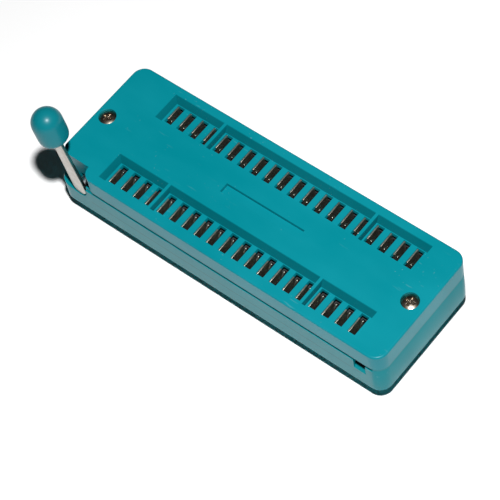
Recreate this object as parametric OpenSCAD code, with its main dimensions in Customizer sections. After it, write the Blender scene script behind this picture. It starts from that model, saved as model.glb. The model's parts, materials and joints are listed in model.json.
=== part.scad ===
// Zero-insertion-force socket for wide dual-in-line chips.
// Origin: centre of the pin field on the board surface. +X runs away from the lever along
// the pin rows, +Y towards the back row, +Z up. The lever is drawn standing up, contacts open.

/* [Pin field] */
// Distance between neighbouring pins of a row
pitch = 2.54; // [2.5:0.01:2.7]
// Pins in each row
pins_per_row = 20; // [8:1:20]
// Distance between the two pin rows
row_spacing = 15.24; // [14.8:0.02:15.6]
// Length of a tail below the board surface
tail_len = 2.8; // [2:0.1:4]
// Width of a tail along the row
tail_w = 0.5; // [0.4:0.05:0.6]
// Thickness of a tail across the row
tail_t = 0.3; // [0.2:0.05:0.4]
// Gap around a tail in the floor of the base
tail_clearance = 0.05; // [0.02:0.01:0.1]

/* [Housing] */
// Length of the housing
body_len = 65.9; // [65.6:0.1:70]
// Width of the housing
body_wid = 22.6; // [22.4:0.1:26]
// Housing centre measured from the pin field's centre, along the rows
body_shift = -1.6; // [-1.7:0.05:-1.45]
// Height of the base moulding
base_h = 6.3; // [6.1:0.1:8]
// Height of the cover moulding
cover_h = 3.6; // [3.5:0.1:5]
// Radius of the housing's upright corners
corner_r = 2.2; // [1.5:0.1:2.6]
// Rounding of the cover's top edge
top_edge_r = 0.35; // [0.2:0.05:0.5]
// Rounding of the base's top edge, which draws the parting line
seam_edge_r = 0.12; // [0.05:0.01:0.2]
// Thickness of the base's side walls
side_wall = 1.35; // [1.1:0.05:1.5]
// Thickness of the base's floor under the contact cells
floor_t = 1.0; // [0.8:0.1:1.5]
// Depth of the slider's tray, from the top of the base
tray_depth = 1.4; // [1.3:0.05:1.6]
// Height of the pads that hold the base off the board
standoff_h = 0.4; // [0.2:0.05:0.8]
// Side of a square standoff pad
standoff_side = 2.6; // [2:0.1:3]
// Length of the middle standoff pad
seat_pad_len = 7; // [5:0.5:7.5]
// Width of the middle standoff pad
seat_pad_wid = 6; // [4:0.5:8]
// Depth of the core-outs in the base's underside
core_depth = 2.4; // [1:0.1:3]
// Side of a square core-out in the base's underside
core_side = 6; // [4:0.1:6.2]
// Rib between two core-outs
core_rib = 1.4; // [1:0.1:2]

/* [Troughs and slots] */
// Length of a chip trough
trough_len = 51.6; // [51:0.1:52.5]
// Width of a chip trough
trough_wid = 5.4; // [5:0.1:6]
// Depth of a chip trough
trough_depth = 1.5; // [1:0.1:1.8]
// Distance of a trough's middle from the centre line
trough_y = 7.02; // [6.9:0.02:7.2]
// Thickness of the ribs across the troughs
rib_t = 0.5; // [0.3:0.05:0.6]
// Pitches from the middle to a trough rib
rib_pitches = 6; // [3:1:7]
// Width of a pin slot along the row
slot_w = 1.45; // [1.42:0.01:1.55]
// Length of a pin slot across the row
slot_len = 3.7; // [3.6:0.05:4]
// Thickness of the cover under a trough
web_t = 0.8; // [0.6:0.05:1]
// Length of the bare recess in the middle of the cover
panel_len = 15.6; // [10:0.1:20]
// Width of the bare recess
panel_wid = 1.8; // [1:0.1:3]
// Depth of the bare recess
panel_depth = 0.3; // [0.1:0.05:0.5]

/* [Cover screws] */
// Distance from the left screw to the lever's pivot, along the rows
screw_to_pivot = 2.4; // [2.35:0.05:2.6]
// Set-back of the right screw from the housing's end
screw_inset = 2.65; // [2.2:0.05:2.9]
// Diameter of a screw head
head_d = 2.8; // [2.4:0.05:2.9]
// Height of a screw head
head_h = 0.95; // [0.7:0.05:1.2]
// Depth of a screw head's seat below the top face
seat_depth = 1.25; // [1.1:0.05:1.6]
// Gap around a screw head in its seat
head_clearance = 0.1; // [0.05:0.01:0.15]
// Outer diameter of the screw thread
shank_d = 1.56; // [1.4:0.02:1.7]
// Length of a screw under its head
shank_len = 7.2; // [6:0.1:7.6]
// Gap around the shank in the base
pilot_clearance = 0.02; // [0.01:0.01:0.05]
// Gap around the shank in the cover
shank_clearance = 0.15; // [0.1:0.01:0.2]
// Width of an arm of the cross recess
cross_w = 0.42; // [0.3:0.02:0.5]
// Length across the cross recess
cross_len = 1.6; // [1.2:0.1:1.8]
// Depth of the cross recess
cross_depth = 0.55; // [0.3:0.05:0.6]

/* [Lever] */
// Set-back of the pivot from the housing's end
pivot_inset = 4.65; // [4.55:0.05:4.75]
// Depth of the pivot below the top face
pivot_drop = 5.05; // [5:0.05:5.2]
// Lean of the standing lever from upright, in degrees
lever_lean = 11; // [5:1:20]
// Travel of the lever from standing to closed, in degrees
lever_swing = 69; // [60:1:69]
// Radius of the lever's rounded foot
foot_r = 1.35; // [1.25:0.05:1.4]
// Width of the lever at the knob
lever_tip_w = 2.1; // [1.8:0.1:2.4]
// Thickness of the lever's sheet
lever_t = 0.6; // [0.5:0.05:0.8]
// Set-back of the lever from the front face
lever_inset = 0.1; // [0.05:0.05:0.3]
// Gap around the foot in its pocket
foot_clearance = 0.25; // [0.2:0.05:0.3]
// Distance from the pivot to the knob's lower end
knob_start = 11.6; // [11:0.1:14]
// Length of the knob
knob_len = 6.9; // [6:0.1:9]
// Diameter of the knob
knob_d = 5.2; // [4.4:0.1:5.6]
// Rounding of the knob's lower edge
knob_edge_r = 1.2; // [0.4:0.1:1.4]
// How far the lever reaches into the knob
lever_grip = 4.4; // [3:0.1:5]
// Depth of the lever's pocket from the front face
pocket_depth = 2.05; // [1.9:0.05:2.1]
// Radius of the cover's corners beside the lever's pocket
pocket_r = 2; // [1.5:0.1:2]

/* [Cam shaft] */
// Diameter of the shaft's journals
journal_d = 2.0; // [1.8:0.05:2.1]
// Diameter of the shaft's cranked stretches
crank_d = 1.6; // [1.4:0.05:1.7]
// Travel of the slider
slider_travel = 0.4; // [0.3:0.05:0.45]
// Radial gap around a journal in its saddle
journal_clearance = 0.03; // [0.02:0.01:0.06]
// Gap on each side of a crank in its fork
crank_clearance = 0.04; // [0.03:0.01:0.06]
// Distance of a fork's middle from the centre line
fork_y = 3.7; // [3.6:0.05:3.9]
// Width of a fork across the socket
fork_w = 2.0; // [1.6:0.1:2.2]
// Side gap of a fork in its bay
fork_gap = 0.25; // [0.2:0.05:0.4]
// Distance from the centre line to the shaft's rear end
shaft_rear_y = 8.6; // [8:0.1:9]

/* [Slider] */
// Thickness of the slider plate
slider_t = 1.6; // [1.5:0.05:1.7]
// Gap under the slider, and over it to the cover
slider_gap = 0.05; // [0.03:0.01:0.1]
// Gap beside the slider in its tray
slider_side_gap = 0.1; // [0.05:0.05:0.2]
// Material beyond the last window at the slider's plain end
slider_end = 1.2; // [1:0.1:1.4]
// Thickness of a fork's wall
fork_wall = 0.9; // [0.7:0.05:1]
// Thickness of a fork's floor
fork_floor = 0.75; // [0.6:0.05:0.8]
// Gap between a contact and the edge of its window in the slider
window_gap = 0.05; // [0.04:0.01:0.08]
// Room at the slider's two ends beyond its travel
slider_end_gap = 0.2; // [0.1:0.05:0.3]

/* [Contacts] */
// Thickness of the fixed leaf
leaf_t = 0.25; // [0.2:0.01:0.26]
// Thickness of the spring finger
finger_t = 0.2; // [0.15:0.01:0.22]
// Offset of the fixed leaf's outer side from the pin's axis
leaf_x = 0.70; // [0.68:0.01:0.71]
// Offset of the spring finger's outer side from the pin's axis
finger_x = 0.60; // [0.56:0.01:0.61]
// Width of the fixed leaf across the row
leaf_w = 2.9; // [2.6:0.1:3]
// Width of the spring finger across the row
finger_w = 1.2; // [0.8:0.1:1.6]
// Top of the fixed leaf below the trough's floor
leaf_drop = 0.15; // [0.1:0.05:0.4]
// Top of the spring finger below the trough's floor
finger_drop = 0.35; // [0.3:0.05:0.6]
// Width of the finger's pointed tip
finger_tip_w = 0.35; // [0.2:0.05:0.6]
// Gap left between finger and leaf when the lever is closed on an empty socket
nip_gap = 0.01; // [0.01:0.01:0.05]
// Gap around a contact in its cell
cell_gap = 0.1; // [0.05:0.01:0.12]
// Room beside the spring finger in its cell
finger_room = 0.25; // [0.2:0.01:0.28]

/* [Front window] */
// Set-back of the window's middle from the housing's end
window_inset = 4.15; // [4.1:0.05:4.3]
// Width of the front window
window_w = 2.25; // [1.8:0.05:2.3]
// Height of the front window
window_h = 2.9; // [2.4:0.1:3.2]

/* [Hidden] */
$fn = 64;
over = 1;
row_y = row_spacing / 2;
base_z = standoff_h;
split_z = base_z + base_h;
top_z = split_z + cover_h;
left_x = body_shift - body_len / 2;
right_x = body_shift + body_len / 2;
front_y = -body_wid / 2;
inner_y = body_wid / 2 - side_wall;
pins = [for (i = [0 : pins_per_row - 1]) (i - (pins_per_row - 1) / 2) * pitch];
field_half = (pins_per_row - 1) / 2 * pitch;

trough_floor_z = top_z - trough_depth;
web_z = trough_floor_z - web_t;
rib_x = rib_pitches * pitch;

pivot_x = left_x + pivot_inset;
screw_left_x = pivot_x - screw_to_pivot;
screw_right_x = right_x - screw_inset;
window_x = right_x - window_inset;
pivot_z = top_z - pivot_drop;
pocket_y = front_y + pocket_depth;
pocket_x = pivot_x + foot_r + foot_clearance;
lever_front_y = front_y + lever_inset;
lever_back_y = lever_front_y + lever_t;
closed_rise = 90 - lever_lean - lever_swing;

crank_r = slider_travel / 2 / sin(lever_swing / 2);
crank_x = pivot_x + slider_travel / 2;
crank_z = pivot_z + crank_r * cos(lever_swing / 2);

tray_z = split_z - tray_depth;
slider_z = tray_z + slider_gap;
slider_top_z = slider_z + slider_t;
roof_z = slider_top_z + slider_gap;
tray_left_x = pivot_x + journal_d / 2;
slider_left_x = tray_left_x + slider_travel + slider_end_gap;
leaf_top_z = trough_floor_z - leaf_drop;
leaf_y = trough_y + slot_len / 2 - leaf_w - 0.05;
window_left = -leaf_x - window_gap;
window_right = finger_x + window_gap;
slider_right_x = field_half + window_right + slider_end;
tray_right_x = slider_right_x + slider_end_gap;
fork_in = crank_d / 2 + crank_clearance;
fork_base_z = crank_z - crank_d / 2 - 0.08 - fork_floor;
fork_left_x = crank_x - fork_in - fork_wall;
bay_left_x = fork_left_x - slider_travel - slider_end_gap;
bay_half = fork_w / 2 + fork_gap;
crank_half = fork_w / 2 + fork_gap / 2;
crank_lap = fork_gap / 4;

cell_floor_z = base_z + floor_t;
cell_left = -leaf_x - cell_gap;
cell_right = finger_x + finger_room;
cell_in_y = leaf_y - 0.2;
cell_out_y = leaf_y + leaf_w + 0.15;

// A block between two corners
module block(low, high) {
    translate(low) cube(high - low);
}

// An upright slab with round corners and a rounded top edge, standing on z = 0
module rounded_slab(x_low, x_high, half_wid, h, r, edge) {
    for (x = [x_low + r, x_high - r], y = [-half_wid + r, half_wid - r])
        translate([x, y, 0]) rotate_extrude() union() {
            square([r, h - edge]);
            square([r - edge, h]);
            translate([r - edge, h - edge]) intersection() {
                circle(edge);
                square(edge);
            }
        }
    translate([x_low + r, 0, 0]) rotate([90, 0, 90]) linear_extrude(x_high - x_low - 2 * r)
        top_rounded_profile(half_wid, h, edge);
    translate([(x_low + x_high) / 2, half_wid - r, 0]) rotate([90, 0, 0])
        linear_extrude(2 * (half_wid - r)) top_rounded_profile((x_high - x_low) / 2, h, edge);
}

// The slab's cross-section: a rectangle whose upper corners are rounded
module top_rounded_profile(half, h, edge) {
    translate([-half, 0]) square([2 * half, h - edge]);
    translate([edge - half, 0]) square([2 * (half - edge), h]);
    for (side = [-1, 1]) translate([side * (half - edge), h - edge]) circle(edge);
}

// The plan of the lever's pocket, with the cover's two rounded corners beside it
module pocket_plan() {
    translate([left_x - over, front_y - over])
        square([pocket_x - left_x + over, pocket_depth + over]);
    difference() {
        translate([left_x - over, pocket_y - over]) square([pocket_r + over, pocket_r + over]);
        translate([left_x + pocket_r, pocket_y + pocket_r]) circle(pocket_r);
    }
    difference() {
        translate([pocket_x - over, front_y - over]) square([pocket_r + over, pocket_r + over]);
        translate([pocket_x + pocket_r, front_y + pocket_r]) circle(pocket_r);
    }
}

// The lever's sheet outline, drawn upwards from the pivot at the origin
module lever_outline(end) {
    half_tip = lever_tip_w / 2;
    circle(foot_r);
    polygon([[-foot_r, 0], [foot_r, 0], [half_tip, knob_start], [half_tip, end],
        [-half_tip, end], [-half_tip, knob_start]]);
}

// Turns a part drawn upwards along +Y of the plan into the leaning lever's plane
module lever_plane(y) {
    translate([pivot_x, y, pivot_z]) rotate([0, -lever_lean, 0]) rotate([90, 0, 0]) children();
}

module base() {
    color([0.0, 0.48, 0.52]) {
        difference() {
            translate([0, 0, base_z])
                rounded_slab(left_x, right_x, body_wid / 2, base_h, corner_r, seam_edge_r);
            // Tray that the slider runs in
            block([tray_left_x, -inner_y, tray_z],
                [tray_right_x, inner_y, split_z + over]);
            // Cells, with a hole through the floor for each tail
            for (x = pins, side = [-1, 1]) {
                block_pair([x + cell_left, cell_in_y, cell_floor_z],
                    [x + cell_right, cell_out_y, tray_z + over], side);
                block_pair([x - tail_w / 2 - tail_clearance,
                    row_y - tail_t / 2 - tail_clearance, -over],
                    [x + tail_w / 2 + tail_clearance,
                    row_y + tail_t / 2 + tail_clearance, cell_floor_z + over], side);
            }
            // Bays for the slider's forks
            for (side = [-1, 1]) block_pair([bay_left_x, fork_y - bay_half, fork_base_z - 0.15],
                [slider_left_x + slider_end_gap, fork_y + bay_half, split_z + over], side);
            // Saddle for the cam shaft, open at the top
            translate([pivot_x, shaft_rear_y + 0.15, pivot_z]) rotate([90, 0, 0])
                cylinder(d = journal_d + 2 * journal_clearance,
                    h = shaft_rear_y + 0.15 - front_y - lever_inset);
            block([pivot_x - journal_d / 2 - journal_clearance, pocket_y - over, pivot_z],
                [pivot_x + journal_d / 2 + journal_clearance, shaft_rear_y + 0.15,
                split_z + over]);
            lever_pocket();
            front_window();
            for (x = [screw_left_x, screw_right_x])
                translate([x, 0, split_z - shank_len])
                    cylinder(d = shank_d + 2 * pilot_clearance, h = shank_len + over);
            underside_cores();
        }
        standoffs();
    }
}

// The same block in the back row (side 1) or mirrored into the front row (side -1)
module block_pair(low, high, side) {
    if (side > 0) block(low, high);
    else mirror([0, 1, 0]) block(low, high);
}

// Room for the lever from its closed place up to standing, open to the front and the left end
module lever_pocket() {
    reach = foot_r + foot_clearance;
    low = [-reach * sin(closed_rise), -reach * cos(closed_rise)];
    run = (pivot_inset + over) / cos(closed_rise);
    far = low + run * [-cos(closed_rise), sin(closed_rise)];
    rise = split_z - pivot_z + over;
    translate([pivot_x, pocket_y, pivot_z]) rotate([90, 0, 0])
        linear_extrude(pocket_depth + over) union() {
            circle(reach);
            polygon([low, far, [far[0], rise], [reach, rise], [reach, 0]]);
        }
}

// Window in the front wall, with a sloping sill that leads into the tray
module front_window() {
    sill_z = split_z - window_h;
    x_low = window_x - window_w / 2;
    translate([x_low, 0, 0]) rotate([90, 0, 90]) linear_extrude(window_w)
        polygon([[front_y - over, sill_z], [front_y, sill_z], [-inner_y, tray_z],
            [-inner_y, split_z + over], [front_y - over, split_z + over]]);
    block([tray_right_x - 0.1, -inner_y, tray_z],
        [window_x + window_w / 2, -inner_y + window_w, split_z + over]);
}

module underside_cores() {
    first = seat_pad_len / 2 + core_rib + core_side / 2;
    for (side = [-1, 1], i = [0 : 2])
        translate([side * (first + i * (core_side + core_rib)), 0, base_z])
            cube([core_side, core_side, 2 * core_depth], center = true);
}

module standoffs() {
    block([-seat_pad_len / 2, -seat_pad_wid / 2, 0], [seat_pad_len / 2, seat_pad_wid / 2, base_z]);
    for (x = [left_x + corner_r, right_x - corner_r - standoff_side], side = [-1, 1])
        block_pair([x, body_wid / 2 - corner_r - standoff_side, 0],
            [x + standoff_side, body_wid / 2 - corner_r, base_z], side);
}

module cover() {
    color([0.0, 0.5, 0.55]) {
        difference() {
            translate([0, 0, split_z])
                rounded_slab(left_x, right_x, body_wid / 2, cover_h, corner_r, top_edge_r);
            translate([0, 0, split_z - over]) linear_extrude(cover_h + 2 * over) pocket_plan();
            chip_troughs();
            for (x = pins, side = [-1, 1])
                block_pair([x - slot_w / 2, trough_y - slot_len / 2, split_z - over],
                    [x + slot_w / 2, trough_y + slot_len / 2, top_z + over], side);
            translate([0, 0, top_z]) cube([panel_len, panel_wid, 2 * panel_depth],
                center = true);
            // Hollow over the slider, and a deeper one under each row of slots
            block([tray_left_x, -inner_y, split_z - over],
                [tray_right_x, inner_y, roof_z]);
            for (side = [-1, 1])
                block_pair([-trough_len / 2 + 0.5, trough_y - trough_wid / 2 + 0.3, split_z - over],
                    [trough_len / 2 - 0.5, trough_y + trough_wid / 2 - 0.3, web_z], side);
            // Room for the forks
            for (side = [-1, 1]) block_pair([bay_left_x, fork_y - bay_half, split_z - over],
                [slider_left_x + slider_end_gap, fork_y + bay_half, roof_z], side);
            for (x = [screw_left_x, screw_right_x]) translate([x, 0, 0]) {
                translate([0, 0, split_z - over])
                    cylinder(d = shank_d + 2 * shank_clearance, h = cover_h + 2 * over);
                translate([0, 0, top_z - seat_depth])
                    cylinder(d = head_d + 2 * head_clearance, h = seat_depth + over);
            }
        }
        // Keeper that holds the middle journal down in its saddle
        block([pivot_x - journal_d / 2 + 0.05, -1.5, pivot_z + journal_d / 2 + journal_clearance],
            [pivot_x + journal_d / 2 - 0.05, 1.5, split_z]);
    }
}

// Two troughs, each crossed by two ribs that stay standing
module chip_troughs() {
    bays = [[-trough_len / 2, -rib_x - rib_t / 2], [-rib_x + rib_t / 2, rib_x - rib_t / 2],
        [rib_x + rib_t / 2, trough_len / 2]];
    for (bay = bays, side = [-1, 1])
        block_pair([bay[0], trough_y - trough_wid / 2, trough_floor_z],
            [bay[1], trough_y + trough_wid / 2, top_z + over], side);
}

module slider_plate() {
    color([0.12, 0.12, 0.13]) {
        difference() {
            block([slider_left_x, -inner_y + slider_side_gap, slider_z],
                [slider_right_x, inner_y - slider_side_gap, slider_top_z]);
            for (x = pins, side = [-1, 1])
                block_pair([x + window_left, cell_in_y - 0.6, slider_z - over],
                    [x + window_right, cell_out_y, slider_top_z + over], side);
        }
        for (side = [-1, 1]) fork(side);
    }
}

// An upright fork that straddles one cranked stretch of the shaft
module fork(side) {
    difference() {
        block_pair([fork_left_x, fork_y - fork_w / 2, fork_base_z],
            [slider_left_x + 0.4, fork_y + fork_w / 2, slider_top_z], side);
        block_pair([crank_x - fork_in, fork_y - fork_w, fork_base_z + fork_floor],
            [crank_x + fork_in, fork_y + fork_w, slider_top_z + over], side);
        block_pair([slider_left_x, fork_y - fork_w, fork_base_z - over],
            [slider_left_x + over, fork_y + fork_w, slider_z], side);
    }
}

module cam_shaft() {
    color([0.62, 0.63, 0.65]) {
        near = fork_y - crank_half;
        far = fork_y + crank_half;
        shaft_stretch(pivot_x, pivot_z, journal_d, lever_back_y, -far);
        shaft_stretch(pivot_x, pivot_z, journal_d, -near, near);
        shaft_stretch(pivot_x, pivot_z, journal_d, far, shaft_rear_y);
        for (side = [-1, 1])
            shaft_stretch(crank_x, crank_z, crank_d, side * fork_y - crank_half - crank_lap,
                side * fork_y + crank_half + crank_lap);
    }
}

// One round stretch of the shaft, between two distances along Y
module shaft_stretch(x, z, d, y_low, y_high) {
    translate([x, y_high, z]) rotate([90, 0, 0]) cylinder(d = d, h = y_high - y_low);
}

module lever_arm() {
    color([0.74, 0.73, 0.70]) lever_plane(lever_back_y)
        linear_extrude(lever_t) lever_outline(knob_start + lever_grip);
}

module lever_knob() {
    r = knob_d / 2;
    color([0.0, 0.5, 0.53]) difference() {
        lever_plane(lever_back_y - lever_t / 2) translate([0, knob_start, 0])
            rotate([-90, 0, 0]) rotate_extrude() union() {
                intersection() {
                    union() {
                        translate([0, knob_edge_r]) square([r, knob_len - r - knob_edge_r]);
                        square([r - knob_edge_r, knob_edge_r]);
                        translate([r - knob_edge_r, knob_edge_r]) circle(knob_edge_r);
                        translate([0, knob_len - r]) circle(r);
                    }
                    square([r, knob_len]);
                }
            }
        lever_arm();
    }
}

module cover_screw(x) {
    crown_r = head_d;
    color([0.70, 0.66, 0.58]) translate([x, 0, top_z - seat_depth]) {
        difference() {
            intersection() {
                cylinder(d = head_d, h = head_h);
                translate([0, 0, head_h - crown_r]) sphere(crown_r, $fn = 64);
            }
            for (turn = [0, 90]) rotate([0, 0, turn]) translate([0, 0, head_h])
                cube([cross_len, cross_w, 2 * cross_depth], center = true);
        }
        translate([0, 0, -shank_len]) cylinder(d = shank_d, h = shank_len);
    }
}

module cover_screw_left() {
    cover_screw(screw_left_x);
}

module cover_screw_right() {
    cover_screw(screw_right_x);
}

// One stamped contact: fixed leaf, foot, spring finger and tail
module contact(x, side) {
    color([0.78, 0.76, 0.70]) {
        block_pair([x - leaf_x, leaf_y, cell_floor_z], [x - leaf_x + leaf_t, leaf_y + leaf_w,
            leaf_top_z], side);
        block_pair([x - leaf_x, leaf_y, cell_floor_z], [x + finger_x, leaf_y + leaf_w,
            cell_floor_z + leaf_t], side);
        block_pair([x - tail_w / 2, row_y - tail_t / 2, -tail_len], [x + tail_w / 2,
            row_y + tail_t / 2, cell_floor_z + leaf_t], side);
        if (side > 0) spring_finger(x);
        else mirror([0, 1, 0]) spring_finger(x);
    }
}

// The finger stands upright past the slider, leans in to its nip, and ends in a pointed tip
module spring_finger(x) {
    bend_z = slider_top_z - 0.3;
    mouth_z = web_z + 0.1;
    tip_z = trough_floor_z - finger_drop;
    nip = finger_x + leaf_x - leaf_t - finger_t - slider_travel - nip_gap;
    intersection() {
        translate([0, leaf_y + finger_w, 0]) rotate([90, 0, 0]) linear_extrude(finger_w)
            translate([x + finger_x, 0]) polygon([[0, cell_floor_z], [0, bend_z],
                [-nip, mouth_z], [-nip, tip_z], [-nip - finger_t, tip_z],
                [-nip - finger_t, mouth_z], [-finger_t, bend_z - 0.05],
                [-finger_t, cell_floor_z]]);
        translate([x - leaf_x, 0, 0]) rotate([90, 0, 90]) linear_extrude(leaf_x + finger_x)
            translate([leaf_y, 0]) polygon([[0, cell_floor_z], [finger_w, cell_floor_z],
                [finger_w, mouth_z], [finger_tip_w, tip_z], [0, tip_z]]);
    }
}

base();
cover();
slider_plate();
cam_shaft();
lever_arm();
lever_knob();
cover_screw_left();
cover_screw_right();
for (i = [1 : pins_per_row]) {
    contact(pins[i - 1], -1);
    contact(pins[i - 1], 1);
}
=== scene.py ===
import json
import math

import bmesh
import bpy
from mathutils import Matrix, Vector


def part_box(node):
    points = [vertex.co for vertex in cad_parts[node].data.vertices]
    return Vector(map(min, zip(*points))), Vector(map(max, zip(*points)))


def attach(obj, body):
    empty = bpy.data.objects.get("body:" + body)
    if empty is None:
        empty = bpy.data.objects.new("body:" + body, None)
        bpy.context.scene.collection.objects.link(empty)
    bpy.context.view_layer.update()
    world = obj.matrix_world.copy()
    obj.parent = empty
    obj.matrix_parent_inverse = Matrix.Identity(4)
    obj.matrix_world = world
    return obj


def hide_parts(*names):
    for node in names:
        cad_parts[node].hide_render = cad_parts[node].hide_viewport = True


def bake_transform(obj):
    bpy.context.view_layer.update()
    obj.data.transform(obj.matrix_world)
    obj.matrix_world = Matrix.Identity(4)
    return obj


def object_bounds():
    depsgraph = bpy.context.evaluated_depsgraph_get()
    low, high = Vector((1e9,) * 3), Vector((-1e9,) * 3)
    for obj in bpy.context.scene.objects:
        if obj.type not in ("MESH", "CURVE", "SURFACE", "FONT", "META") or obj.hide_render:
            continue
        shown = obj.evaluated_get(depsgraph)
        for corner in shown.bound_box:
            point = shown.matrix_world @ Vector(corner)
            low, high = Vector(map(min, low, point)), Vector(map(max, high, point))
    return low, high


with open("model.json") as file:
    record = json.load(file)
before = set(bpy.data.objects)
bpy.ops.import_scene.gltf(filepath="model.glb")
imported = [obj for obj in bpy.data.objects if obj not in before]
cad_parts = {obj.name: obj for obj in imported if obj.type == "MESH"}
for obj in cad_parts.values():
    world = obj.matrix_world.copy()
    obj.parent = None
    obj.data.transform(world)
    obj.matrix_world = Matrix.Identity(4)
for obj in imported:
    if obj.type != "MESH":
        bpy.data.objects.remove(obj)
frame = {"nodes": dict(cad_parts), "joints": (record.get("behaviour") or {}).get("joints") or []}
cad_low, cad_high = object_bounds()

MM = 0.001
CONTACTS = sorted(n for n in frame["nodes"] if n.startswith("contact_"))

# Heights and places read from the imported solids
base_low, base_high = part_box("base")
cover_low, cover_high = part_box("cover")
top_z = cover_high.z
cover_foot_z = cover_low.z  # the cover's lip reaches a little below the joint
trough_floor_z = top_z - 1.5 * MM
hinge = next(j for j in frame["joints"] if j["name"] == "lever_hinge")
pivot = Vector(hinge["pos_m"])
LEAN = math.radians(11)
lever_along = Vector((-math.sin(LEAN), 0, math.cos(LEAN)))


# ---------------------------------------------------------------- shader helpers

def new_material(name):
    material = bpy.data.materials.new(name)
    material.use_nodes = True
    nodes = material.node_tree.nodes
    for node in list(nodes):
        nodes.remove(node)
    output = nodes.new("ShaderNodeOutputMaterial")
    shader = nodes.new("ShaderNodeBsdfPrincipled")
    material.node_tree.links.new(shader.outputs[0], output.inputs["Surface"])
    coords = nodes.new("ShaderNodeTexCoord")
    return material, shader, coords.outputs["Object"]


def noise(material, coords, scale, detail=2.0, rough=0.5, stretch=None):
    """Noise in object space; scale is in features per metre."""
    nodes, links = material.node_tree.nodes, material.node_tree.links
    if stretch:
        mapping = nodes.new("ShaderNodeMapping")
        mapping.inputs["Scale"].default_value = stretch
        links.new(coords, mapping.inputs["Vector"])
        coords = mapping.outputs["Vector"]
    texture = nodes.new("ShaderNodeTexNoise")
    texture.inputs["Scale"].default_value = scale
    texture.inputs["Detail"].default_value = detail
    texture.inputs["Roughness"].default_value = rough
    links.new(coords, texture.inputs["Vector"])
    return texture.outputs["Fac"]


def ramp(material, value, stops):
    """A colour ramp; stops are (place, colour or grey)."""
    nodes, links = material.node_tree.nodes, material.node_tree.links
    node = nodes.new("ShaderNodeValToRGB")
    elements = node.color_ramp.elements
    while len(elements) < len(stops):
        elements.new(0.5)
    for element, (place, colour) in zip(elements, stops):
        element.position = place
        if not hasattr(colour, "__len__"):
            colour = (colour, colour, colour)
        element.color = (*colour, 1)
    links.new(value, node.inputs["Fac"])
    return node.outputs["Color"]


def mix(material, share, first, second, kind="MIX"):
    nodes, links = material.node_tree.nodes, material.node_tree.links
    node = nodes.new("ShaderNodeMix")
    node.data_type = "RGBA"
    node.blend_type = kind
    for socket, value in ((node.inputs["Factor"], share), (node.inputs["A"], first), (node.inputs["B"], second)):
        if isinstance(value, bpy.types.NodeSocket):
            links.new(value, socket)
        elif hasattr(value, "__len__"):
            socket.default_value = (*value, 1)
        else:
            socket.default_value = value
    return node.outputs["Result"]


def calculate(material, operation, first, second=0.0, third=None):
    nodes, links = material.node_tree.nodes, material.node_tree.links
    node = nodes.new("ShaderNodeMath")
    node.operation = operation
    for socket, value in zip(node.inputs, (first, second, third)):
        if isinstance(value, bpy.types.NodeSocket):
            links.new(value, socket)
        elif value is not None:
            socket.default_value = value
    return node.outputs["Value"]


def bump(material, shader, height, distance, strength):
    nodes, links = material.node_tree.nodes, material.node_tree.links
    node = nodes.new("ShaderNodeBump")
    node.inputs["Distance"].default_value = distance
    node.inputs["Strength"].default_value = strength
    links.new(height, node.inputs["Height"])
    links.new(node.outputs["Normal"], shader.inputs["Normal"])


def plug_in(material, value, socket):
    material.node_tree.links.new(value, socket)


# ---------------------------------------------------------------- materials

def within(material, value, low, high):
    """1 where the value lies between low and high, else 0."""
    above = calculate(material, "GREATER_THAN", value, low)
    return calculate(material, "MULTIPLY", above, calculate(material, "LESS_THAN", value, high))


def all_of(material, *shares):
    result = shares[0]
    for share in shares[1:]:
        result = calculate(material, "MULTIPLY", result, share)
    return result


def moulded_teal(name, colour, roughness, ior, shaded):
    """Satin moulded plastic: spark-eroded grain, flow shading, pale scuffs and dust specks.

    shaded lists (box, shade): inside a box of |x|, |y| and z in mm the colour is multiplied by its shade; this paints
    shade into the colour, and also draws the darker mould line.
    """
    material, shader, coords = new_material(name)
    flow = noise(material, coords, 55, 3, 0.5, (1.0, 2.2, 1.0))
    darker = tuple(0.93 * c for c in colour)
    lighter = tuple(min(1.0, 1.06 * c + 0.003) for c in colour)
    body = mix(material, ramp(material, flow, [(0.3, 0.0), (0.7, 1.0)]), darker, lighter)
    specks = ramp(material, noise(material, coords, 2300, 2, 0.6), [(0.70, 0.0), (0.76, 1.0)])
    patches = ramp(material, noise(material, coords, 130, 2, 0.5), [(0.50, 0.0), (0.66, 1.0)])
    dust = calculate(material, "MULTIPLY", specks, patches)
    body = mix(material, calculate(material, "MULTIPLY", dust, 0.5), body, (0.30, 0.46, 0.47))
    scratch = noise(material, coords, 240, 2, 0.55, (1.0, 9.0, 4.0))
    scratch = ramp(material, scratch, [(0.66, 0.0), (0.70, 1.0)])
    worn = calculate(material, "MULTIPLY", scratch, patches)
    body = mix(material, calculate(material, "MULTIPLY", worn, 0.14), body, (0.20, 0.42, 0.44))
    axes = material.node_tree.nodes.new("ShaderNodeSeparateXYZ")
    material.node_tree.links.new(coords, axes.inputs[0])
    sizes = [calculate(material, "ABSOLUTE", axes.outputs[0]), calculate(material, "ABSOLUTE", axes.outputs[1]),
             axes.outputs[2]]
    # Painted shade: each box darkens the colour where shade would fall (trough walls, window insides); the mould-line
    # box darkens a thin band.
    for box, shade in shaded:
        inside = all_of(material, *(within(material, value, low * MM, high * MM)
                                    for value, (low, high) in zip(sizes, box)))
        body = mix(material, inside, body, mix(material, 1.0, body, (shade, shade, shade), "MULTIPLY"))
    plug_in(material, body, shader.inputs["Base Color"])
    grain = noise(material, coords, 5200, 3, 0.6)
    polish = noise(material, coords, 210, 2, 0.5)
    rough = calculate(material, "MULTIPLY_ADD", polish, 0.12, roughness - 0.06)
    plug_in(material, calculate(material, "ADD", rough, calculate(material, "MULTIPLY", worn, 0.1)),
            shader.inputs["Roughness"])
    bump(material, shader, grain, 0.010 * MM, 0.5)
    shader.inputs["IOR"].default_value = ior
    return material


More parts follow.
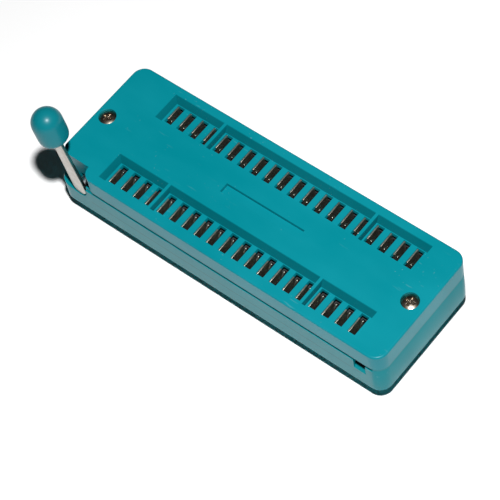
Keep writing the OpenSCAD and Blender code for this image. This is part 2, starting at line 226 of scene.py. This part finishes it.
def plated_metal(name, bright, dull, roughness, scale=900, stretch=(1, 1, 6)):
    """Plated sheet or turned metal with fine drawing lines and dull patches."""
    material, shader, coords = new_material(name)
    tarnish = noise(material, coords, scale, 3, 0.6)
    colour = mix(material, ramp(material, tarnish, [(0.35, 0.0), (0.72, 1.0)]), bright, dull)
    plug_in(material, colour, shader.inputs["Base Color"])
    lines = noise(material, coords, scale * 4, 2, 0.5, stretch)
    plug_in(material, calculate(material, "MULTIPLY_ADD", lines, 0.16, roughness - 0.08), shader.inputs["Roughness"])
    bump(material, shader, lines, 0.006 * MM, 0.35)
    shader.inputs["Metallic"].default_value = 1.0
    return material


def slider_black():
    """Glass-filled black plastic of the hidden slider."""
    material, shader, coords = new_material("slider_black")
    fibre = noise(material, coords, 1500, 3, 0.6, (1, 5, 1))
    plug_in(material, mix(material, fibre, (0.012, 0.013, 0.014), (0.03, 0.031, 0.033)), shader.inputs["Base Color"])
    plug_in(material, calculate(material, "MULTIPLY_ADD", fibre, 0.2, 0.42), shader.inputs["Roughness"])
    bump(material, shader, noise(material, coords, 4200, 3, 0.6), 0.008 * MM, 0.5)
    return material


# Painted shade: the drawn-in trough walls of the cover are darkened in colour (x 0.68) in place of the shade that falls
# on them.
TROUGH_WALL_PAINTED_SHADE = ((-1, 26), (4.2, 9.8), (8.86, 10.17))
MOULD_LINE = ((-1, 27.5), (11.2, 12), (3.20, 3.38))
# Painted shadow: inside the windows near both ends of the base (the box uses |x|) the colour is made nearly black (x
# 0.06) in place of the shadow under the cover.
WINDOW_PAINTED_SHADOW = ((26, 28.4), (0, 10.82), (3.8, 6.75))

# The cover's colour carries painted shade on its trough walls.
teal_top = moulded_teal("teal_cover_plastic", (0.0, 0.203, 0.248), 0.31, 1.24, [(TROUGH_WALL_PAINTED_SHADE, 0.68)])
# The base's colour carries painted shadow inside its windows, and a darker mould line.
teal_bottom = moulded_teal("teal_base_plastic", (0.0, 0.190, 0.220), 0.31, 1.24,
                           [(MOULD_LINE, 0.62), (WINDOW_PAINTED_SHADOW, 0.06)])
teal_grip = moulded_teal("teal_knob_plastic", (0.0, 0.158, 0.190), 0.33, 1.32, [])
nickel_steel = plated_metal("nickel_steel", (0.46, 0.43, 0.39), (0.36, 0.33, 0.29), 0.30)
shaft_steel = plated_metal("turned_steel", (0.62, 0.62, 0.62), (0.45, 0.45, 0.46), 0.30, 700, (1, 8, 1))
screw_nickel = plated_metal("screw_nickel", (0.60, 0.52, 0.42), (0.22, 0.17, 0.12), 0.27, 1400, (3, 3, 1))
spring_bronze = plated_metal("spring_bronze", (0.58, 0.55, 0.47), (0.30, 0.33, 0.27), 0.40, 1600, (1, 1, 5))
black_plastic = slider_black()


# ---------------------------------------------------------------- mesh helpers

def merged_copy(node):
    """A bmesh of a CAD solid with its loose triangles merged and its flat faces joined."""
    shape = bmesh.new()
    shape.from_mesh(frame["nodes"][node].data)
    bmesh.ops.remove_doubles(shape, verts=shape.verts, dist=1e-7)
    bmesh.ops.dissolve_limit(shape, angle_limit=math.radians(0.4), use_dissolve_boundaries=False,
                             verts=shape.verts, edges=shape.edges, delimit={"NORMAL"})
    return shape


def is_sharp(edge, degrees=28):
    return edge.is_manifold and edge.calc_face_angle(0) > math.radians(degrees)


def round_edges(shape, edges, width, segments=2):
    """Rounds edges; where they lie close together the width is clamped below what is asked."""
    bmesh.ops.bevel(shape, geom=edges, offset=width, offset_type="OFFSET", affect="EDGES", segments=segments,
                    profile=0.5, material=-1, clamp_overlap=True, harden_normals=False)


def finished(shape, name, body, material, smooth_below=32, replaces=()):
    """Makes the object, smooths its round faces and puts it on its body."""
    shape.normal_update()
    for face in shape.faces:
        face.smooth = abs(face.normal.z) < 0.99999
    for edge in shape.edges:
        edge.smooth = not (edge.is_manifold and edge.calc_face_angle(0) > math.radians(smooth_below))
    mesh = bpy.data.meshes.new(name)
    shape.to_mesh(mesh)
    shape.free()
    piece = bpy.data.objects.new(name, mesh)
    bpy.context.scene.collection.objects.link(piece)
    mesh.materials.append(material)
    if body:
        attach(piece, body)
    if replaces:
        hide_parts(*replaces)
    return piece


# ---------------------------------------------------------------- housing

def wall_faces(shape, across, side):
    return [f for f in shape.faces if all(abs(v.co[across] - side) < 1e-6 for v in f.verts)]


def hold_corners(shape):
    """Cuts the flat outer walls just beside their rounded corners, so that their shading stays flat."""
    beside = 0.12 * MM
    for across, along in ((1, 0), (0, 1), (1, 2), (0, 2)):
        for outermost in (min, max):
            side = outermost(v.co[across] for v in shape.verts)
            ends = [v.co[along] for f in wall_faces(shape, across, side) for v in f.verts]
            if not ends:
                continue
            for place in (min(ends) + beside, max(ends) - beside):
                walls = wall_faces(shape, across, side)
                parts = dict.fromkeys(walls + [e for f in walls for e in f.edges] + [v for f in walls for v in f.verts])
                centre, direction = Vector((0, 0, 0)), Vector((0, 0, 0))
                centre[along], direction[along] = place, 1
                bmesh.ops.bisect_plane(shape, geom=list(parts), dist=1e-7, plane_co=centre, plane_no=direction)


def deepen_recess(shape):
    """Sinks the bare recess in the middle of the cover."""
    for v in shape.verts:
        if abs(v.co.x) < 9 * MM and abs(v.co.y) < 1.5 * MM and abs(v.co.z - top_z + 0.3 * MM) < 0.01 * MM:
            v.co.z -= 0.40 * MM


def lean_trough_walls(shape):
    """Moves the foot of each trough wall towards the slots; the upright ribs stay."""
    wall_rim_and_foot = ((9.72, 8.97), (4.32, 4.80), (-4.32, -5.08), (-9.72, -9.25))
    end_rim, end_foot = 25.7 * MM, 25.2 * MM
    for v in shape.verts:
        if abs(v.co.z - trough_floor_z) >= 0.01 * MM or abs(v.co.y) <= 4 * MM:
            continue
        for rim, foot in wall_rim_and_foot:
            if abs(v.co.y - rim * MM) < 0.05 * MM:
                v.co.y = foot * MM
                break
        if abs(v.co.x) > end_rim:
            v.co.x = math.copysign(end_foot, v.co.x)


def all_at(edge, height):
    return all(abs(v.co.z - height) < 0.01 * MM for v in edge.verts)


def cover_moulding():
    """The cover, with drawn-in trough walls, a deeper recess and lightly broken rims."""
    shape = merged_copy("cover")
    hold_corners(shape)
    deepen_recess(shape)
    lean_trough_walls(shape)
    inside = [e for e in shape.edges if is_sharp(e, 50)
              and all(v.co.z > trough_floor_z - 0.02 * MM for v in e.verts)
              and all(abs(v.co.y) < 9.8 * MM and abs(v.co.x) < 26 * MM for v in e.verts)]
    rims = [e for e in inside if all_at(e, top_z)]
    slot_rims = [e for e in inside if all_at(e, trough_floor_z) and e.calc_face_angle_signed(0) > 0]
    round_edges(shape, rims + slot_rims, 0.10 * MM)
    end_rims = [e for e in shape.edges if is_sharp(e, 60) and all_at(e, top_z)
                     and all(abs(v.co.y) > 11.2 * MM or v.co.x > 28.7 * MM or v.co.x < -33 * MM for v in e.verts)]
    round_edges(shape, end_rims, 0.32 * MM, 4)
    return finished(shape, "cover_moulding", "housing", teal_top, replaces=["cover"])


def seam_rebate(shape):
    """Sets the top of the outer wall back a little, so that a dark joint line runs under the cover."""
    set_back, corner = 0.24 * MM, 2.2 * MM
    plain_end_x, plain_end_share = 29.5 * MM, 0.2
    for drop in (0.30, 0.21):
        bmesh.ops.bisect_plane(shape, geom=shape.verts[:] + shape.edges[:] + shape.faces[:], dist=1e-7,
                               plane_co=(0, 0, cover_foot_z - drop * MM), plane_no=(0, 0, 1))
    middle = (base_low + base_high) / 2
    core_x = (base_high.x - base_low.x) / 2 - corner
    core_y = (base_high.y - base_low.y) / 2 - corner
    for v in shape.verts:
        if v.co.z < cover_foot_z - 0.22 * MM:
            continue
        x, y = v.co.x - middle.x, v.co.y - middle.y
        away = Vector((x - max(-core_x, min(core_x, x)), y - max(-core_y, min(core_y, y)), 0))
        if away.length > corner - 0.14 * MM:
            v.co -= away.normalized() * set_back * (plain_end_share if v.co.x > plain_end_x else 1)


def base_moulding():
    """The base, set back a little just under the cover."""
    shape = merged_copy("base")
    hold_corners(shape)
    seam_rebate(shape)
    return finished(shape, "base_moulding", "housing", teal_bottom, replaces=["base"])


# ---------------------------------------------------------------- lever

def lever_bar():
    shape = merged_copy("lever_arm")
    edges = [e for e in shape.edges if is_sharp(e, 60)]
    round_edges(shape, edges, 0.06 * MM)
    return finished(shape, "lever_bar", "lever", nickel_steel, replaces=["lever_arm"])


def lever_grip():
    """The knob: a domed grip turned from one profile, drawn in at its lower end."""
    start = 11.6 * MM
    radius, straight_to = 2.6, 4.3
    profile = [(0, 0), (1.45, 0), (1.62, 0.05), (2.20, 0.52), (2.42, 0.80), (2.53, 1.15), (2.58, 1.6),
               (radius, 2.2), (radius, straight_to)]
    dome = [(radius * math.cos(math.radians(t)), straight_to + radius * math.sin(math.radians(t)))
            for t in range(9, 90, 9)]
    shape = bmesh.new()
    points = [shape.verts.new((r * MM, 0, h * MM)) for r, h in profile + dome + [(0, 6.9)]]
    for first, second in zip(points, points[1:]):
        shape.edges.new((first, second))
    bmesh.ops.spin(shape, geom=shape.verts[:] + shape.edges[:], cent=(0, 0, 0), axis=(0, 0, 1),
                   angle=math.tau, steps=64, use_merge=True)
    bmesh.ops.remove_doubles(shape, verts=shape.verts, dist=1e-6)
    bmesh.ops.recalc_face_normals(shape, faces=shape.faces)
    stand = lever_along.to_track_quat("Z", "Y").to_matrix().to_4x4()
    bmesh.ops.transform(shape, matrix=Matrix.Translation(pivot + lever_along * start) @ stand, verts=shape.verts)
    return finished(shape, "lever_grip", "lever", teal_grip, smooth_below=42, replaces=["lever_knob"])


# ---------------------------------------------------------------- screws, shaft, slider, contacts

def dressed(node, name, body, material):
    return finished(merged_copy(node), name, body, material, replaces=[node])


def cover_screw(node, name):
    """A raised cross-recess head that nearly fills its seat."""
    shape = merged_copy(node)
    low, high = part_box(node)
    axis_x, axis_y = (low.x + high.x) / 2, (low.y + high.y) / 2
    under_head = top_z - 1.2 * MM
    head = [v.co for v in shape.verts if v.co.z > under_head]
    wider = 1.48 * MM / max(math.hypot(c.x - axis_x, c.y - axis_y) for c in head)
    taller = (top_z - 0.08 * MM - under_head) / (high.z - under_head)
    for v in shape.verts:
        if v.co.z > under_head:
            v.co.x = axis_x + (v.co.x - axis_x) * wider
            v.co.y = axis_y + (v.co.y - axis_y) * wider
            v.co.z = under_head + (high.z - under_head) * taller * (
                (v.co.z - under_head) / (high.z - under_head)) ** 0.7
    round_edges(shape, [e for e in shape.edges if is_sharp(e, 45) and all(v.co.z > under_head for v in e.verts)],
                0.05 * MM)
    return finished(shape, name, "housing", screw_nickel, smooth_below=50, replaces=[node])


def add_block(shape, low, high):
    made = bmesh.ops.create_cube(shape, size=1.0)["verts"]
    low, high = Vector(low), Vector(high)
    bmesh.ops.scale(shape, verts=made, vec=high - low)
    bmesh.ops.translate(shape, verts=made, vec=(low + high) / 2)
    return made


def spring_contact(node):
    """The fixed leaf with foot and tail on the housing, and the spring finger as a separate piece on no body."""
    low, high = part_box(node)
    x = low.x + 0.70 * MM
    side = 1 if low.y > 0 else -1
    inner, outer = min(abs(low.y), abs(high.y)), max(abs(low.y), abs(high.y))
    foot_z = 1.4 * MM
    name = node.replace("contact", "spring")

    shape = bmesh.new()
    add_block(shape, (x - 0.70 * MM, inner, foot_z), (x - 0.45 * MM, outer, high.z))
    add_block(shape, (x - 0.45 * MM, inner, foot_z), (x + 0.60 * MM, outer, foot_z + 0.25 * MM))
    add_block(shape, (x - 0.25 * MM, 7.47 * MM, low.z), (x + 0.25 * MM, 7.77 * MM, foot_z + 0.02 * MM))
    round_edges(shape, [e for e in shape.edges if is_sharp(e, 60)], 0.045 * MM)
    if side < 0:
        bmesh.ops.scale(shape, verts=shape.verts, vec=(1, -1, 1))
        bmesh.ops.reverse_faces(shape, faces=shape.faces)
    leaf = finished(shape, name + "_leaf", "housing", spring_bronze, smooth_below=50, replaces=[node])

    shape = bmesh.new()
    add_block(shape, (x + 0.40 * MM, inner, foot_z + 0.2 * MM), (x + 0.60 * MM, inner + 1.2 * MM, 5.0 * MM))
    for rise, lean, width in ((6.6, 0, 1.2), (8.0, -0.39, 0.8), (8.5, 0, 0.22)):
        shape.faces.ensure_lookup_table()
        top = max(shape.faces, key=lambda f: f.calc_center_median().z)
        made = bmesh.ops.extrude_face_region(shape, geom=[top])["geom"]
        bmesh.ops.delete(shape, geom=[top], context="FACES_ONLY")
        rim = [v for v in made if isinstance(v, bmesh.types.BMVert)]
        start = max(v.co.y for v in rim) - min(v.co.y for v in rim)
        for v in rim:
            v.co.y = inner + (v.co.y - inner) * width * MM / start
            v.co.x += lean * MM
            v.co.z = rise * MM
    round_edges(shape, [e for e in shape.edges if is_sharp(e, 60)], 0.035 * MM)
    if side < 0:
        bmesh.ops.scale(shape, verts=shape.verts, vec=(1, -1, 1))
        bmesh.ops.reverse_faces(shape, faces=shape.faces)
    finger = finished(shape, name + "_finger", None, spring_bronze, smooth_below=50)
    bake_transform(finger)
    return leaf


cover_moulding()
base_moulding()
lever_bar()
lever_grip()
cover_screw("cover_screw_left", "screw_left")
cover_screw("cover_screw_right", "screw_right")
dressed("cam_shaft", "turned_shaft", "lever", shaft_steel)
dressed("slider_plate", "slider", "slider", black_plastic)
for node in CONTACTS:
    spring_contact(node)


# ---------------------------------------------------------------- floor, light, camera

def floor_and_sky():
    sheet = bmesh.new()
    bmesh.ops.create_grid(sheet, x_segments=1, y_segments=1, size=3.0)
    bmesh.ops.translate(sheet, verts=sheet.verts, vec=(0, 0, cad_low.z - 0.02 * MM))
    mesh = bpy.data.meshes.new("floor")
    sheet.to_mesh(mesh)
    sheet.free()
    floor = bpy.data.objects.new("floor", mesh)
    bpy.context.scene.collection.objects.link(floor)
    material, shader, _ = new_material("pale_floor")
    shader.inputs["Base Color"].default_value = (0.93, 0.93, 0.93, 1)
    shader.inputs["Roughness"].default_value = 0.9
    shader.inputs["Specular IOR Level"].default_value = 0.1
    mesh.materials.append(material)
    world = bpy.data.worlds.new("studio")
    world.use_nodes = True
    background = world.node_tree.nodes["Background"]
    background.inputs["Color"].default_value = (1.0, 1.0, 1.0, 1)
    background.inputs["Strength"].default_value = 0.012
    bpy.context.scene.world = world


def area_light(name, direction, distance, size, watts):
    lamp = bpy.data.lights.new(name, "AREA")
    lamp.shape = "DISK"
    lamp.size = size
    lamp.energy = watts
    light = bpy.data.objects.new(name, lamp)
    bpy.context.scene.collection.objects.link(light)
    direction = Vector(direction).normalized()
    light.location = direction * distance
    light.rotation_mode = "QUATERNION"
    light.rotation_quaternion = direction.to_track_quat("Z", "Y")


def camera():
    data = bpy.data.cameras.new("camera")
    data.sensor_width = 36
    data.lens = 153.04
    data.clip_start, data.clip_end = 0.01, 20
    data.dof.use_dof = False
    seat = bpy.data.objects.new("camera", data)
    bpy.context.scene.collection.objects.link(seat)
    right = Vector((0.7720, 0.6233, -0.1244))
    up = Vector((-0.4796, 0.6997, 0.5295))
    back = right.cross(up).normalized()
    up = back.cross(right).normalized()
    turn = Matrix((right.normalized(), up, back)).transposed().to_4x4()
    seat.matrix_world = Matrix.Translation((0.13946, -0.12091, 0.28478)) @ turn
    bpy.context.scene.camera = seat


floor_and_sky()
area_light("key", (0.274, -0.187, 0.944), 0.339, 0.020, 1.62)
camera()
bpy.context.scene.view_settings.view_transform = "Standard"
